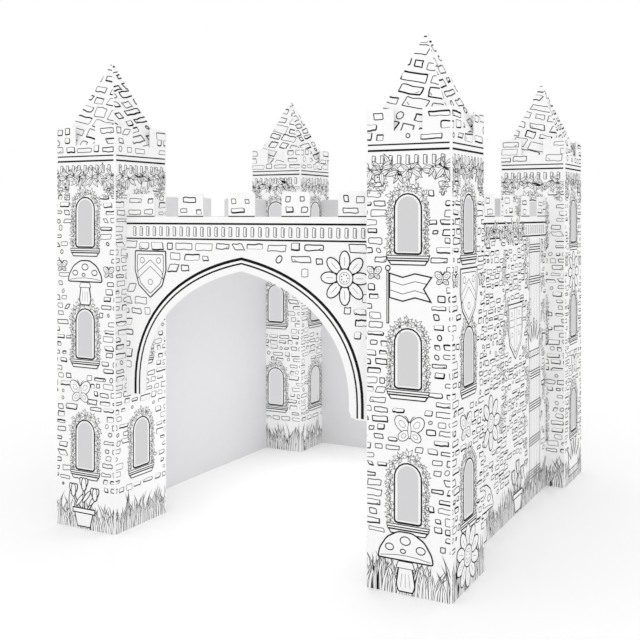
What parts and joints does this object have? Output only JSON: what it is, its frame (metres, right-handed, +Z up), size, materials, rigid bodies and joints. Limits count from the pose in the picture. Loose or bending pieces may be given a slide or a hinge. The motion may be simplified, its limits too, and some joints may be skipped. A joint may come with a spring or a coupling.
{
  "type": "cardboard castle",
  "caption": "Play castle of folded card: square towers with windows and pointed roofs, notched walls and a hanging arch.",
  "frame": {"origin": "on the floor at the centre of the castle's plan", "axes": "+Z up, +X to the castle's right as seen from the front, +Y towards the back; the arch faces -Y"},
  "size_m": [1.156, 1.156, 1.264],
  "materials": {
    "card": "matt white liner, printed with black outline drawing on the outer faces and bare inside"
  },
  "bodies": {
    "root": {"tower_front_left": "card", "tower_front_right": "card", "tower_back_left": "card", "tower_back_right": "card", "roof_front_left": "card", "roof_front_right": "card", "roof_back_left": "card", "roof_back_right": "card", "wall_front": "card", "wall_back": "card", "wall_left": "card", "wall_right": "card"}
  },
  "joints": []
}
